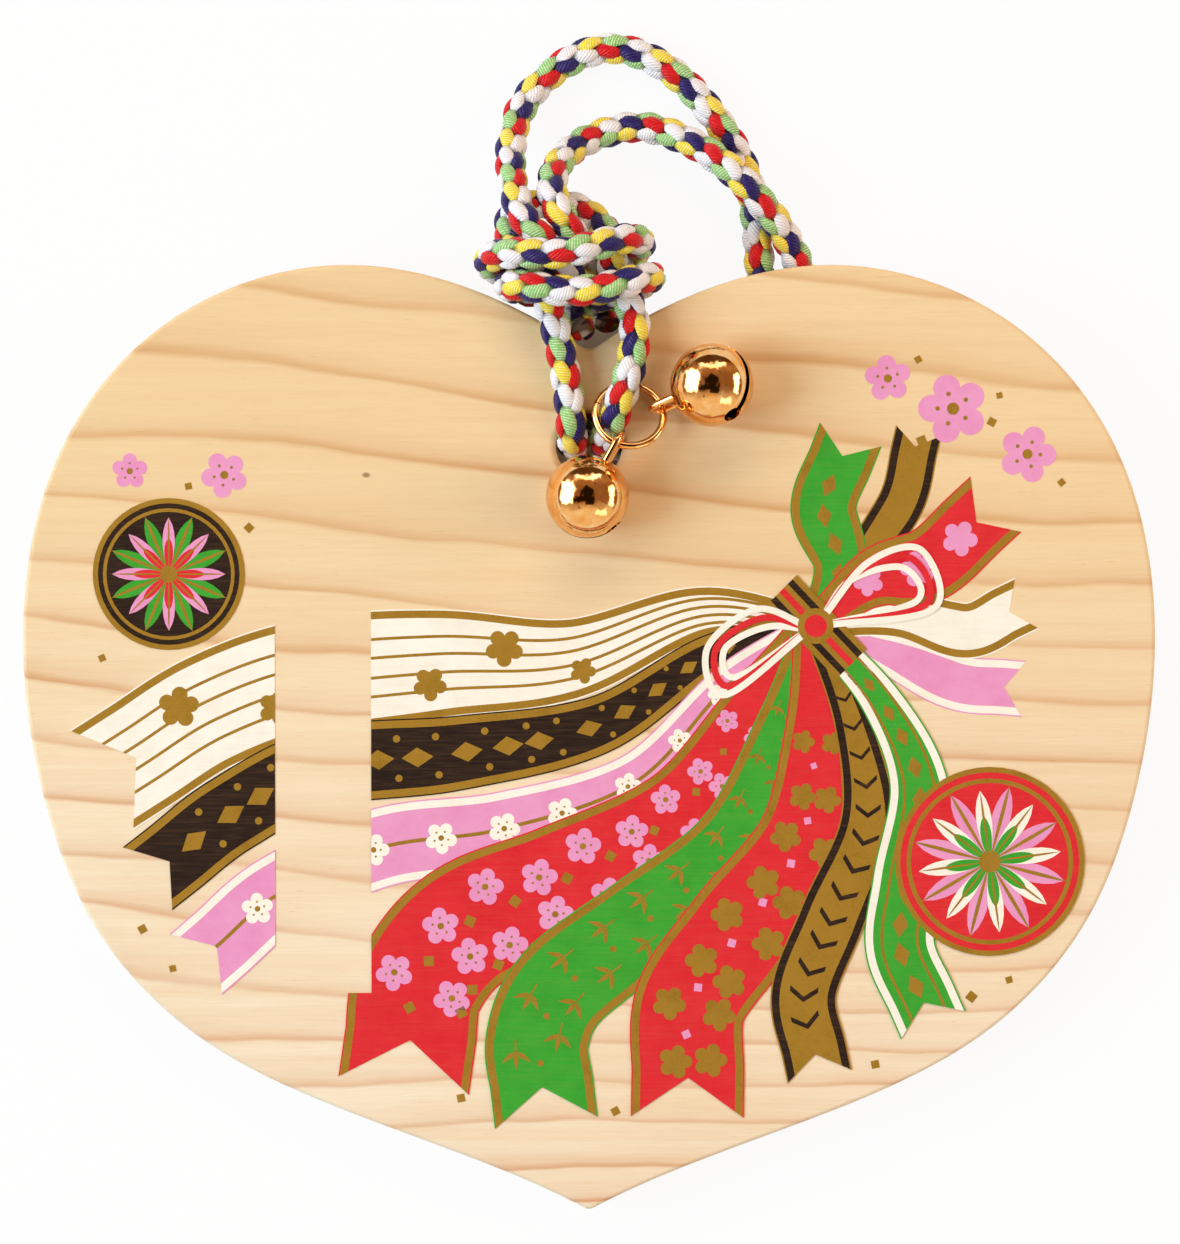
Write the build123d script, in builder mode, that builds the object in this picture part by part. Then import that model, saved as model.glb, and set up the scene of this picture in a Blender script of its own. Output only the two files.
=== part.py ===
from build123d import *
import math
import os

os.makedirs("parts", exist_ok=True)

# An ema plaque lying on its back: a heart-shaped board, its knotted hanging cord, a wire ring and two bells.
# Millimetres. +X right, +Y towards the hanging loops, +Z up, z = 0 on the table.

# Board: one flat plank cut to a heart, with a hole for the cord below the notch
board_width = 120.0
board_height = 100.4
board_thickness = 6.0
board_edge_round = 0.4
notch_depth = 9.2
notch_round = 1.6
tip_round = 0.9
hole_diameter = 7.0
hole_below_top = 19.2
hole_edge_round = 0.8

# Cord: soft braid, drawn thinner where the knot pulls it tight
cord_diameter = 3.0
knot_cord_diameter = 2.8
cord_tip_length = 0.9
cord_tip_round = 0.5
arc_share = 0.45

# Ring: round wire bent to a circle that closes on a butt joint
ring_wire = 0.8
ring_diameter = 7.2
ring_tilt = 28.0
ring_seat = 0.3
ring_low_bearing = 80.0
ring_right_of_hole = 4.24
ring_above_hole = 3.3
ring_joint_bearing = 159.0
ring_joint_gap = 0.12

# Bells: two thin half shells, a wire eye through the upper one and a loose ball inside
bell_diameter = 8.8
bell_wall = 0.4
slit_width = 0.7
slit_end_hole = 2.0
slit_end_angle = 68.0
eye_wire = 0.8
eye_bore = 1.3
eye_reach = 2.0
eye_foot_length = 0.65
eye_foot_depth = 1.0
eye_foot_bend = 0.55
clapper_diameter = 2.6
bell_names = ["left_bell", "right_bell"]
bell_ring_bearings = [247.0, 18.0]
bell_lie_bearings = [241.3, 23.3]

# Clearances
seat_gap = 0.05
eye_hole_gap = 0.05
clapper_gap = 0.06

# The board leans on its own cord: the tip is on the table and the hole lies one cord above it
half_height = board_height / 2
hole_y = half_height - hole_below_top
lean_sine = (cord_diameter + seat_gap) / (hole_y + half_height)
lean_cosine = math.sqrt(1 - lean_sine**2)
depth = board_height * lean_cosine + board_thickness * lean_sine
front_y = -depth / 2 + board_thickness * lean_sine
board_middle = (0, front_y + half_height * lean_cosine, half_height * lean_sine)
board_plane = Plane(origin=board_middle, x_dir=(1, 0, 0), z_dir=(0, -lean_sine, lean_cosine))


def across(share):
    """Distance from the middle line, as a share of half the board's width."""
    return share * board_width / 2


def up(share):
    """Height from the board's middle, as a share of half its height."""
    return share * half_height


def on_board(right, upwards, out):
    """Point given from the board's middle: right, towards the loops, out of its back face."""
    return board_plane.from_local_coords(Vector(right, upwards, out))


def along_board(right, upwards, out):
    """Direction given the same way."""
    return on_board(right, upwards, out) - on_board(0, 0, 0)


# Heart outline, right side: round lobe, long cheek, flank that turns slightly hollow towards the tip
notch = (0, half_height - notch_depth)
tip = (0, -half_height)
lobe_inner = (across(0.16), up(0.926))
lobe_top = (across(0.425), half_height)
lobe_outer = (across(0.74), up(0.882))
cheek_upper = (across(0.925), up(0.627))
cheek_widest = (board_width / 2, up(0.22))
cheek_lower = (across(0.963), up(-0.13))
jowl_upper = (across(0.882), up(-0.382))
jowl_lower = (across(0.688), up(-0.634))
flank_upper = (across(0.49), up(-0.76))
flank_lower = (across(0.21), up(-0.888))
right_side = [lobe_inner, lobe_top, lobe_outer, cheek_upper, cheek_widest, cheek_lower]
right_side += [jowl_upper, jowl_lower, flank_upper, flank_lower]
left_side = [(-x, y) for x, y in right_side]

with BuildPart() as board:
    with BuildSketch(board_plane) as heart:
        with BuildLine():
            Spline(notch, *right_side, tip)
            Spline(notch, *left_side, tip)
        make_face()
        notch_corner = heart.vertices().sort_by(Axis.Y)[-1]
        fillet(notch_corner, notch_round)
        tip_corner = heart.vertices().sort_by(Axis.Y)[0]
        fillet(tip_corner, tip_round)
    extrude(amount=board_thickness)
    rims = board.faces().filter_by(GeomType.PLANE).edges()
    fillet(rims, board_edge_round)
    with BuildSketch(board_plane):
        with Locations((0, hole_y)):
            Circle(hole_diameter / 2)
    extrude(amount=board_thickness, mode=Mode.SUBTRACT)
    hole_rims = board.edges().filter_by(GeomType.CIRCLE).filter_by(lambda edge: edge.is_closed)
    fillet(hole_rims, hole_edge_round)
board.part.label = "board"
export_step(board.part, "parts/board.step")

# Cord: one length of braid. Points along its middle line, from the left tail to the right tail.
tail_left = [(-0.8, 43.5, 8.4), (-1.2, 45.2, 6.4), (-3.2, 46.8, 5.2), (-6.0, 47.4, 6.2)]
wrap_lower = [(-8.2, 47.7, 8.8), (-8.6, 47.8, 12.4), (-6.4, 47.5, 15.0), (-2.6, 46.9, 15.5)]
wrap_lower += [(0.8, 47.1, 15.5), (4.2, 48.0, 14.9), (6.7, 48.8, 12.2), (6.2, 48.5, 8.6)]
wrap_lower += [(2.8, 46.8, 7.0), (-0.4, 47.1, 8.6), (-2.2, 49.2, 10.8), (-4.3, 52.0, 11.9)]
loop_outer = [(-7.0, 54.6, 11.3), (-8.1, 58.2, 8.8), (-8.5, 62.4, 5.4), (-7.7, 67.0, 2.4)]
loop_outer += [(-4.0, 71.6, 1.55), (2.2, 74.4, 1.5), (8.8, 71.8, 1.5), (13.8, 66.2, 1.5)]
loop_outer += [(17.0, 60.6, 1.5), (18.0, 55.0, 1.5), (18.3, 49.6, 1.5), (19.2, 44.2, 1.5)]
loop_outer += [(16.6, 39.2, 1.5), (11.0, 37.4, 1.5), (5.4, 37.5, 1.5), (0.6, 35.8, 1.5)]
leg_left = [(-1.7, 31.2, 1.5), (-1.72, 31.2, 10.8), (-2.2, 36.8, 10.95), (-3.0, 41.2, 11.2)]
leg_left += [(-4.1, 45.4, 11.3)]
bight = [(-5.0, 48.2, 10.9), (-6.5, 50.6, 9.6), (-8.5, 52.8, 7.4), (-8.6, 55.6, 5.2)]
bight += [(-5.2, 57.2, 3.8), (-1.0, 56.6, 4.2), (1.8, 54.2, 6.4), (2.4, 51.4, 9.0), (2.6, 48.4, 10.6)]
leg_right = [(4.7, 45.4, 11.5), (4.9, 41.4, 12.1), (3.9, 37.2, 12.4), (1.7, 31.4, 10.2)]
leg_right += [(1.7, 31.2, 1.5)]
loop_inner = [(6.6, 31.5, 1.5), (12.4, 32.0, 1.5), (18.4, 34.6, 1.5), (22.6, 39.4, 1.5)]
loop_inner += [(24.0, 45.0, 1.5), (22.8, 50.0, 1.6), (20.7, 54.2, 3.7), (18.0, 57.4, 5.4)]
loop_inner += [(15.2, 60.4, 5.4), (11.6, 63.3, 3.6), (5.8, 65.7, 1.8), (0.4, 64.4, 2.2)]
loop_inner += [(-3.0, 61.8, 5.2), (-4.2, 58.6, 8.8)]
wrap_upper = [(-3.2, 55.4, 11.0), (-1.3, 52.7, 10.8), (-1.1, 50.8, 7.9), (0.5, 50.0, 5.2)]
wrap_upper += [(3.1, 50.5, 4.5), (5.2, 51.8, 6.6), (5.6, 52.6, 10.2), (3.9, 52.7, 13.4)]
wrap_upper += [(0.4, 51.7, 15.2), (-3.2, 50.8, 15.6), (-7.0, 51.0, 15.0), (-9.9, 51.0, 12.8)]
wrap_upper += [(-10.9, 50.2, 9.4), (-9.0, 49.4, 5.8), (-5.2, 50.0, 3.4)]
tail_right = [(-0.8, 49.0, 2.4), (1.8, 46.8, 2.8), (1.9, 44.5, 5.0)]

stretches = [
    ("cord_wrap_lower", tail_left + wrap_lower, knot_cord_diameter),
    ("cord_loop_outer", loop_outer, cord_diameter),
    ("cord_leg_left", leg_left, cord_diameter),
    ("cord_bight", bight, knot_cord_diameter),
    ("cord_leg_right", leg_right, cord_diameter),
    ("cord_loop_inner", loop_inner, cord_diameter),
    ("cord_wrap_upper", wrap_upper + tail_right, knot_cord_diameter),
]
route = []
for name, points, diameter in stretches:
    route += [Vector(*point) for point in points]


def bend_radius(index):
    """Arc radius at a point of the route, from its shorter run and its turn."""
    before = route[index] - route[index - 1]
    after = route[index + 1] - route[index]
    half_turn = math.radians(before.get_angle(after)) / 2
    return arc_share * min(before.length, after.length) / math.tan(half_turn)


# Each stretch ends in the middle of a straight run, so neighbours meet face to face
middle_lines = {}
tail_ends = []
cord_length = 0
first = 0
for name, points, diameter in stretches:
    last = first + len(points) - 1
    corners = route[first : last + 1]
    turns = range(first, last + 1)
    if first > 0:
        corners = [(route[first - 1] + route[first]) / 2] + corners
    else:
        turns = turns[1:]
    if last < len(route) - 1:
        corners = corners + [(route[last] + route[last + 1]) / 2]
    else:
        turns = turns[:-1]
    radii = [bend_radius(index) for index in turns]
    with BuildPart() as stretch:
        with BuildLine() as middle:
            FilletPolyline(*corners, radius=radii)
        path = middle.wires()[0]
        with BuildSketch(Plane(origin=path @ 0, z_dir=path % 0)):
            Circle(diameter / 2)
        sweep(path=path)
    stretch.part.label = name
    export_step(stretch.part, f"parts/{name}.step")
    ratio = stretch.part.volume / (math.pi * diameter**2 / 4 * path.length)
    print(name, "length", round(path.length, 1), "volume ratio", round(ratio, 4))
    print("  radii", [round(radius, 1) for radius in radii])
    middle_lines[name] = [path @ (step / 200) for step in range(201)]
    cord_length += path.length
    if first == 0:
        tail_ends.append((path @ 0, -(path % 0)))
    if last == len(route) - 1:
        tail_ends.append((path @ 1, path % 1))
    first = last + 1
print("cord length", round(cord_length, 1))

# Least gap between stretches that are not neighbours along the cord
for place, (name, points, diameter) in enumerate(stretches):
    for other, other_points, other_diameter in stretches[place + 2 :]:
        spans = [(p - q).length for p in middle_lines[name] for q in middle_lines[other]]
        print("gap", name, other, round(min(spans) - (diameter + other_diameter) / 2, 2))

# Cord tips: the two ends are sealed to short hard plugs so the braid does not fray
with BuildPart() as cord_tip_left:
    with BuildSketch(Plane(origin=tail_ends[0][0], z_dir=tail_ends[0][1])):
        Circle(knot_cord_diameter / 2)
    extrude(amount=cord_tip_length)
    left_rim = cord_tip_left.faces().filter_by(GeomType.PLANE).sort_by_distance(tail_ends[0][0])[-1].edges()
    fillet(left_rim, cord_tip_round)
cord_tip_left.part.label = "cord_tip_left"
export_step(cord_tip_left.part, "parts/cord_tip_left.step")

with BuildPart() as cord_tip_right:
    with BuildSketch(Plane(origin=tail_ends[1][0], z_dir=tail_ends[1][1])):
        Circle(knot_cord_diameter / 2)
    extrude(amount=cord_tip_length)
    right_rim = cord_tip_right.faces().filter_by(GeomType.PLANE).sort_by_distance(tail_ends[1][0])[-1].edges()
    fillet(right_rim, cord_tip_round)
cord_tip_right.part.label = "cord_tip_right"
export_step(cord_tip_right.part, "parts/cord_tip_right.step")

# Ring: one side lies on the board under the right leg, the other side rides over that leg at the hole
ring_radius = ring_diameter / 2
tilt_sine = math.sin(math.radians(ring_tilt))
tilt_cosine = math.cos(math.radians(ring_tilt))
low_cosine = math.cos(math.radians(ring_low_bearing))
low_sine = math.sin(math.radians(ring_low_bearing))
ring_height = board_thickness + ring_seat + ring_wire / 2 + ring_radius * tilt_sine
ring_centre = on_board(ring_right_of_hole, hole_y + ring_above_hole, ring_height)
ring_level = along_board(low_sine, -low_cosine, 0)
ring_rise = along_board(-tilt_cosine * low_cosine, -tilt_cosine * low_sine, tilt_sine)
ring_normal = ring_level.cross(ring_rise)


def ring_spoke(bearing):
    """Direction from the ring's centre to its wire at a bearing seen from above."""
    turn = math.radians(ring_low_bearing - 90 - bearing)
    return ring_level * math.cos(turn) + ring_rise * math.sin(turn)


joint_spoke = ring_spoke(ring_joint_bearing)
joint_arc = math.degrees(ring_joint_gap / ring_radius)
with BuildPart() as ring:
    with BuildSketch(Plane(ring_centre + joint_spoke * ring_radius, joint_spoke, ring_normal.cross(joint_spoke))):
        Circle(ring_wire / 2)
    revolve(axis=Axis(ring_centre, ring_normal), revolution_arc=360 - joint_arc)
ring.part.label = "ring"
export_step(ring.part, "parts/ring.step")

# Bells: each lies on the board, its eye hooked on the ring
bell_radius = bell_diameter / 2
bell_hollow = bell_radius - bell_wall
reach = bell_radius + eye_reach
eye_half = (eye_bore + eye_wire) / 2
foot_level = bell_hollow - eye_foot_depth
slit_top = -bell_radius * math.cos(math.radians(slit_end_angle))
bell_height = board_thickness + seat_gap + bell_radius
half_up = (Align.CENTER, Align.CENTER, Align.MIN)
half_down = (Align.CENTER, Align.CENTER, Align.MAX)
for name, ring_bearing, lie_bearing in zip(bell_names, bell_ring_bearings, bell_lie_bearings):
    hook = ring_centre + ring_spoke(ring_bearing) * ring_radius
    hook_on_board = board_plane.to_local_coords(hook)
    drop = hook_on_board.Z - bell_height
    run = math.sqrt(reach**2 - drop**2)
    centre_right = hook_on_board.X + run * math.cos(math.radians(lie_bearing))
    centre_upwards = hook_on_board.Y + run * math.sin(math.radians(lie_bearing))
    centre = on_board(centre_right, centre_upwards, bell_height)
    axis = (hook - centre).normalized()
    wire_line = ring_normal.cross(ring_spoke(ring_bearing))
    slit_line = (wire_line - axis * wire_line.dot(axis)).normalized()
    bell_plane = Plane(origin=centre, x_dir=slit_line, z_dir=axis)
    eye_plane = Plane(origin=centre, x_dir=bell_plane.y_dir, z_dir=slit_line)
    print(name, "centre", centre, "hook", hook, "axis", axis, "slit line", slit_line)

    # Upper shell: plain half ball with two holes for the eye's legs
    with BuildPart(bell_plane) as upper_shell:
        Sphere(bell_radius, arc_size1=0, align=half_up)
        Sphere(bell_hollow, mode=Mode.SUBTRACT)
        with Locations((0, -eye_half, 0), (0, eye_half, 0)):
            Cylinder(eye_wire / 2 + eye_hole_gap, bell_diameter, mode=Mode.SUBTRACT)
    upper_shell.part.label = name + "_upper_shell"
    export_step(upper_shell.part, f"parts/{name}_upper_shell.step")

    # Lower shell: half ball cut by the sounding slit, which ends in two round holes
    with BuildPart(bell_plane) as lower_shell:
        Sphere(bell_radius, arc_size2=0, align=half_down)
        Sphere(bell_hollow, mode=Mode.SUBTRACT)
        with Locations((0, 0, slit_top)):
            Box(bell_diameter, slit_width, bell_diameter, align=half_down, mode=Mode.SUBTRACT)
        for side in (-1, 1):
            with Locations(Location((0, 0, 0), (0, side * (180 - slit_end_angle), 0))):
                Cylinder(slit_end_hole / 2, bell_diameter, align=half_up, mode=Mode.SUBTRACT)
    lower_shell.part.label = name + "_lower_shell"
    export_step(lower_shell.part, f"parts/{name}_lower_shell.step")

    # Eye: bent wire round the ring, its feet turned outwards inside the upper shell
    with BuildPart() as eye:
        with BuildLine(eye_plane) as bend:
            FilletPolyline(
                (-eye_half - eye_foot_length, foot_level),
                (-eye_half, foot_level),
                (-eye_half, reach),
                radius=eye_foot_bend,
            )
            ThreePointArc((-eye_half, reach), (0, reach + eye_half), (eye_half, reach))
            FilletPolyline(
                (eye_half, reach),
                (eye_half, foot_level),
                (eye_half + eye_foot_length, foot_level),
                radius=eye_foot_bend,
            )
        path = bend.wires()[0]
        with BuildSketch(Plane(origin=path @ 0, z_dir=path % 0)):
            Circle(eye_wire / 2)
        sweep(path=path)
    eye.part.label = name + "_eye"
    export_step(eye.part, f"parts/{name}_eye.step")

    # Clapper: loose ball at the lowest place of the hollow
    with BuildPart() as clapper:
        with Locations(centre - Vector(0, 0, bell_hollow - clapper_diameter / 2 - clapper_gap)):
            Sphere(clapper_diameter / 2)
    clapper.part.label = name + "_clapper"
    export_step(clapper.part, f"parts/{name}_clapper.step")
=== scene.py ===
import bmesh
import bpy
import math
from mathutils import Matrix, Vector
from mathutils.geometry import tessellate_polygon


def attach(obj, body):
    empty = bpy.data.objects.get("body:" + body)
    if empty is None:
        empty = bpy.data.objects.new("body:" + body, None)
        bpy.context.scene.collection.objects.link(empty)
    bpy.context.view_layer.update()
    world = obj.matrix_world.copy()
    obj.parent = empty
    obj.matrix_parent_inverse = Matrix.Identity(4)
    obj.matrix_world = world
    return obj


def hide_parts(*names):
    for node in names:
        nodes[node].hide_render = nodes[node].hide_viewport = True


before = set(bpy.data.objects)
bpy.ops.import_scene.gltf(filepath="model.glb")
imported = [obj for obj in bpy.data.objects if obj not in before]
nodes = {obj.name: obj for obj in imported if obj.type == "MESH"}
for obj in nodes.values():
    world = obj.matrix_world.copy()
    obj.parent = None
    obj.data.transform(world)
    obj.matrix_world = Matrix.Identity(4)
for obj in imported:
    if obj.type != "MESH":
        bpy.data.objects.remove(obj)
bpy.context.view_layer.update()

# Table and light
# The plaque lies face up on a sheet of white paper, in a bright tent with a dark lens overhead.
# Soft boxes stand left, right and at its head. The camera looks straight down from 0.6 m.
# The paper glows white for the lens, but not under the notch, so the gap there keeps its shadow.
LENS_MM = 164.1
SENSOR_MM = 36
CAMERA_PLACE = (0.0001, 0.0123, 0.609)
TABLE_HALF = 2.0
TABLE_DROP = 0.00025
PAPER_GLOW = 0.92
TENT_LEVEL = 0.65
TENT_SHINE = 1.35
TENT_SAG = 0.30
TENT_SKY = [
    (0.10, (0.52, 0.47, 0.40)), (0.33, (0.50, 0.42, 0.30)), (0.43, (0.17, 0.09, 0.042)),
    (0.60, (0.16, 0.08, 0.034)), (0.70, (0.26, 0.15, 0.075)), (0.78, (0.06, 0.03, 0.012)),
]
TENT_PANELS = [
    ((-0.47, 0.10), (0.14, 0.26), 3.0), ((0.57, 0.02), (0.07, 0.20), 3.0),
    ((0.0, 0.46), (0.30, 0.045), 1.4), ((0.34, -0.38), (0.12, 0.07), 1.0),
]
scene = bpy.context.scene
scene.view_settings.view_transform = "Standard"


def shade(code, alpha=1.0):
    """Colour written as six hex digits, as linear values."""
    values = [int(code[i : i + 2], 16) / 255 for i in (0, 2, 4)]
    linear = [v / 12.92 if v <= 0.04045 else ((v + 0.055) / 1.055) ** 2.4 for v in values]
    return (*linear, alpha)


class Sketchpad:
    """Short words for building one material's node tree."""

    def __init__(self, name):
        self.material = bpy.data.materials.new(name)
        self.material.use_nodes = True
        self.tree = self.material.node_tree
        self.shader = self.tree.nodes["Principled BSDF"]

    def node(self, kind, **settings):
        made = self.tree.nodes.new(kind)
        for key, value in settings.items():
            setattr(made, key, value)
        return made

    def join(self, source, target):
        self.tree.links.new(source, target)

    def feed(self, target, value):
        if isinstance(value, bpy.types.NodeSocket):
            self.join(value, target)
        else:
            target.default_value = value

    def maths(self, operation, first, second=0.0, third=0.0):
        made = self.node("ShaderNodeMath", operation=operation)
        for place, value in enumerate((first, second, third)):
            self.feed(made.inputs[place], value)
        return made.outputs[0]

    def blend(self, factor, first, second, how="MIX"):
        made = self.node("ShaderNodeMix", data_type="RGBA", blend_type=how)
        self.feed(made.inputs[0], factor)
        self.feed(made.inputs[6], first)
        self.feed(made.inputs[7], second)
        return made.outputs[2]

    def ramp(self, factor, stops, how="LINEAR"):
        made = self.node("ShaderNodeValToRGB")
        made.color_ramp.interpolation = how
        while len(made.color_ramp.elements) < len(stops):
            made.color_ramp.elements.new(0.5)
        for element, (place, colour) in zip(made.color_ramp.elements, stops):
            element.position = place
            element.color = colour if len(colour) == 4 else (*colour, 1.0)
        self.join(factor, made.inputs[0])
        return made.outputs[0]

    def level(self, factor, stops):
        return self.ramp(factor, [(place, (value, value, value, 1.0)) for place, value in stops])

    def place_mm(self, scale=(1.0, 1.0, 1.0), turn=(0.0, 0.0, 0.0), shift=(0.0, 0.0, 0.0)):
        """Object coordinates in millimetres, stretched and turned."""
        where = self.node("ShaderNodeTexCoord")
        mapping = self.node("ShaderNodeMapping")
        mapping.inputs["Scale"].default_value = [1000 * v for v in scale]
        mapping.inputs["Rotation"].default_value = turn
        mapping.inputs["Location"].default_value = shift
        self.join(where.outputs["Object"], mapping.inputs["Vector"])
        return mapping.outputs[0]

    def noise(self, where, scale, detail=3.0, roughness=0.5):
        made = self.node("ShaderNodeTexNoise")
        self.join(where, made.inputs["Vector"])
        made.inputs["Scale"].default_value = scale
        made.inputs["Detail"].default_value = detail
        made.inputs["Roughness"].default_value = roughness
        return made.outputs["Fac"]

    def bump(self, height, strength, distance):
        made = self.node("ShaderNodeBump")
        made.inputs["Strength"].default_value = strength
        made.inputs["Distance"].default_value = distance
        self.join(height, made.inputs["Height"])
        self.join(made.outputs[0], self.shader.inputs["Normal"])

    def set(self, **values):
        for key, value in values.items():
            self.feed(self.shader.inputs[key.replace("_", " ")], value)
        return self.material


def link(thing):
    scene.collection.objects.link(thing)
    return thing


def soft_box(name, place, size, watts, colour):
    data = bpy.data.lights.new(name, "AREA")
    data.shape = "RECTANGLE"
    data.size, data.size_y = size
    data.energy = watts
    data.color = colour
    lamp = link(bpy.data.objects.new(name, data))
    lamp.location = place
    lamp.rotation_euler = (-Vector(place)).to_track_quat("-Z", "Y").to_euler()
    lamp.visible_glossy = False


soft_box("soft_box_left", (-0.66, -0.06, 0.56), (0.42, 0.50), 4.3, (0.68, 0.98, 1.20))
soft_box("soft_box_right", (0.66, 0.05, 0.55), (0.40, 0.80), 3.0, (1.0, 0.77, 0.56))
soft_box("soft_box_head", (-0.10, 0.75, 0.70), (0.90, 0.35), 3.6, (1.0, 0.77, 0.56))

scene.world = bpy.data.worlds.new("tent")
scene.world.use_nodes = True
tent = scene.world.node_tree


def tent_node(kind, links, **settings):
    made = tent.nodes.new(kind)
    for key, value in settings.items():
        setattr(made, key, value)
    for key, value in links.items():
        if isinstance(value, bpy.types.NodeSocket):
            tent.links.new(value, made.inputs[key])
        else:
            made.inputs[key].default_value = value
    return made


def tent_maths(operation, first, second=0.0, third=0.0):
    return tent_node("ShaderNodeMath", {0: first, 1: second, 2: third}, operation=operation).outputs[0]


def tent_ramp(value, stops):
    made = tent_node("ShaderNodeValToRGB", {0: value})
    while len(made.color_ramp.elements) < len(stops):
        made.color_ramp.elements.new(0.5)
    for element, (where, colour) in zip(made.color_ramp.elements, stops):
        element.position = where
        element.color = (*colour, 1) if isinstance(colour, tuple) else (colour, colour, colour, 1)
    return made.outputs[0]


def tent_blend(how, factor, first, second):
    made = tent_node("ShaderNodeMix", {0: factor, 6: first, 7: second}, data_type="RGBA", blend_type=how)
    return made.outputs[2]


def panel(middle, half, edge=0.03):
    """A bright panel of the tent, placed where a polished ball under the lens shows it."""
    inside = None
    for value, centre, reach in zip((ball_right, ball_up), middle, half):
        far = tent_maths("ABSOLUTE", tent_maths("SUBTRACT", value, centre))
        near = tent_ramp(far, [(reach - edge, 1.0), (reach + edge, 0.0)])
        inside = near if inside is None else tent_maths("MULTIPLY", inside, near)
    return inside


toward = tent_node("ShaderNodeTexCoord", {}).outputs["Generated"]
parts = tent_node("ShaderNodeSeparateXYZ", {0: toward}).outputs
spread = tent_maths("SQRT", tent_maths("MULTIPLY_ADD", parts["Z"], 2.0, 2.02))
folds = tent_node("ShaderNodeTexNoise", {"Vector": toward, "Scale": 3.0, "Detail": 3.0}).outputs["Fac"]
sag = tent_maths("MULTIPLY_ADD", folds, TENT_SAG, -TENT_SAG / 2)
ball_right = tent_maths("ADD", tent_maths("DIVIDE", parts["X"], spread), sag)
ball_up = tent_maths("ADD", tent_maths("DIVIDE", parts["Y"], spread), sag)
sky = tent_ramp(tent_maths("MULTIPLY_ADD", ball_up, 0.5, 0.5), TENT_SKY)
for middle, half, level in TENT_PANELS:
    sky = tent_blend("ADD", panel(middle, half), sky, (level, level, level, 1))
right_squared = tent_maths("MULTIPLY", ball_right, ball_right)
from_middle = tent_maths("SQRT", tent_maths("MULTIPLY_ADD", ball_up, ball_up, right_squared))
mottle = tent_node("ShaderNodeTexNoise", {"Vector": toward, "Scale": 3.6, "Detail": 1.0}).outputs["Fac"]
lens_edge = tent_maths("MULTIPLY_ADD", mottle, -0.80, tent_maths("ADD", from_middle, 0.3))
lens_shade = tent_ramp(lens_edge, [(0.05, 0.06), (0.14, 1.0)])
sky = tent_blend("MULTIPLY", 1.0, sky, lens_shade)
tent.links.new(sky, tent.nodes["Background"].inputs["Color"])
mirrored = tent_node("ShaderNodeLightPath", {}).outputs["Is Glossy Ray"]
brighter = tent_maths("MULTIPLY_ADD", mirrored, TENT_SHINE, TENT_LEVEL)
tent.links.new(brighter, tent.nodes["Background"].inputs["Strength"])

table_paper = Sketchpad("table_paper")
from_notch = table_paper.node("ShaderNodeVectorMath", operation="LENGTH")
under_notch = table_paper.place_mm(scale=(0.150, 0.095, 0.0), shift=(-0.03, -3.42, 0))
table_paper.join(under_notch, from_notch.inputs[0])
open_air = table_paper.level(from_notch.outputs["Value"], [(0.88, 0.0), (1.0, 1.0)])
table_paper.set(Roughness=0.9, Base_Color=shade("F4F4F4"))
lit = table_paper.node("ShaderNodeEmission")
lit.inputs["Color"].default_value = (1, 1, 1, 1)
seen = table_paper.node("ShaderNodeLightPath")
either = table_paper.maths("MAXIMUM", seen.outputs["Is Camera Ray"], seen.outputs["Is Glossy Ray"])
either = table_paper.maths("MAXIMUM", either, seen.outputs["Is Transmission Ray"])
either = table_paper.maths("MULTIPLY", either, open_air)
mixed = table_paper.node("ShaderNodeMixShader")
table_paper.join(table_paper.maths("MULTIPLY", either, PAPER_GLOW), mixed.inputs[0])
table_paper.join(table_paper.shader.outputs[0], mixed.inputs[1])
table_paper.join(lit.outputs[0], mixed.inputs[2])
table_paper.join(mixed.outputs[0], table_paper.tree.nodes["Material Output"].inputs["Surface"])
sheet = bpy.data.meshes.new("table")
corners = [(right * TABLE_HALF, up * TABLE_HALF, 0) for right, up in ((-1, -1), (1, -1), (1, 1), (-1, 1))]
sheet.from_pydata(corners, [], [(0, 1, 2, 3)])
sheet.materials.append(table_paper.material)
table = link(bpy.data.objects.new("table", sheet))
table.location.z = -TABLE_DROP

lens = bpy.data.cameras.new("camera")
lens.lens = LENS_MM
lens.sensor_width = SENSOR_MM
lens.clip_start = 0.01
camera = link(bpy.data.objects.new("camera", lens))
camera.location = CAMERA_PLACE
scene.camera = camera

# Board
# One plank of pale softwood, sawn to a heart and planed, with the grain lying across it.
# A round hole below the notch takes the two legs of the cord; its rims are eased.
MM = 0.001
BOARD_THICK = 6.0
BOARD_HALF = 50.2
HOLE_UP = 31.0
CORD_LIFT = 3.05
LEAN = math.asin(CORD_LIFT / (HOLE_UP + BOARD_HALF))
BOARD_DEEP = 2 * BOARD_HALF * math.cos(LEAN) + BOARD_THICK * math.sin(LEAN)
BOARD_MIDDLE = Vector((
    0,
    BOARD_THICK * math.sin(LEAN) - BOARD_DEEP / 2 + BOARD_HALF * math.cos(LEAN),
    BOARD_HALF * math.sin(LEAN),
))
YEAR_WIDE = 5.6
YEAR_LINE = [(0.0, 1.0), (0.05, 0.80), (0.12, 0.38), (0.32, 0.13), (0.70, 0.02), (0.94, 0.06), (1.0, 0.9)]
BOARD_OUT = Vector((0, -math.sin(LEAN), math.cos(LEAN)))
BOARD_UP = Vector((0, math.cos(LEAN), math.sin(LEAN)))


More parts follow.
